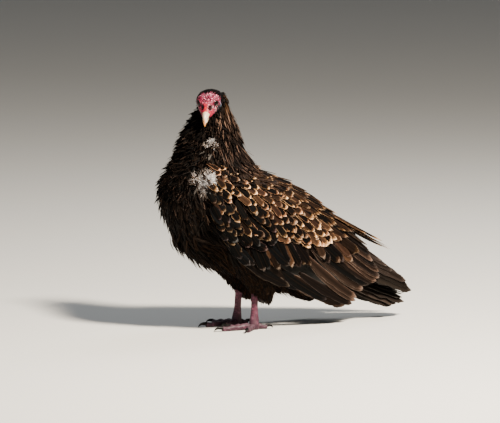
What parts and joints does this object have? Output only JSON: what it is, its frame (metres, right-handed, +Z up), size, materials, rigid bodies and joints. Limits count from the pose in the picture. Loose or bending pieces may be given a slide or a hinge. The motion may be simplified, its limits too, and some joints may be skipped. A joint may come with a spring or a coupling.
{
  "type": "turkey vulture",
  "caption": "Life-size turkey vulture standing at rest with wings folded and head turned to its left, bare red head, ivory bill and shaggy dark brown plumage.",
  "frame": {"origin": "on the floor under the middle of the whole bird's box", "axes": "+Z up; the bird faces -Y with its tail towards +Y; +X is the bird's left side, to which the head is turned"},
  "size_m": [0.2034, 0.518, 0.4557],
  "materials": {
    "plumage": "loose blackish-brown body feathers, matt, with a slight sheen",
    "flight_feathers": "stiff dark brown vanes with paler worn edges, satin",
    "bare_skin": "bare wrinkled crimson skin, satin",
    "leg_scales": "scaled dusky pink skin, satin",
    "bill_horn": "ivory horn, smooth satin",
    "claw_horn": "black horn, smooth satin",
    "eyeball": "near-black wet eye, polished"
  },
  "bodies": {
    "root": {"neck_upper": "plumage", "neck_lower": "plumage", "trunk": "plumage", "thigh_left": "plumage", "thigh_right": "plumage", "wing_primaries_left": "flight_feathers", "wing_primaries_right": "flight_feathers", "wing_secondaries_left": "flight_feathers", "wing_secondaries_right": "flight_feathers", "wing_coverts_left": "flight_feathers", "wing_coverts_right": "flight_feathers", "scapulars_left": "flight_feathers", "scapulars_right": "flight_feathers", "tail": "flight_feathers", "head": "bare_skin", "shank_left": "leg_scales", "shank_right": "leg_scales", "toe_inner_left": "leg_scales", "toe_inner_right": "leg_scales", "toe_middle_left": "leg_scales", "toe_middle_right": "leg_scales", "toe_outer_left": "leg_scales", "toe_outer_right": "leg_scales", "toe_hind_left": "leg_scales", "toe_hind_right": "leg_scales", "bill_upper": "bill_horn", "bill_lower": "bill_horn", "claw_inner_left": "claw_horn", "claw_inner_right": "claw_horn", "claw_middle_left": "claw_horn", "claw_middle_right": "claw_horn", "claw_outer_left": "claw_horn", "claw_outer_right": "claw_horn", "claw_hind_left": "claw_horn", "claw_hind_right": "claw_horn", "eye_left": "eyeball", "eye_right": "eyeball"}
  },
  "joints": []
}
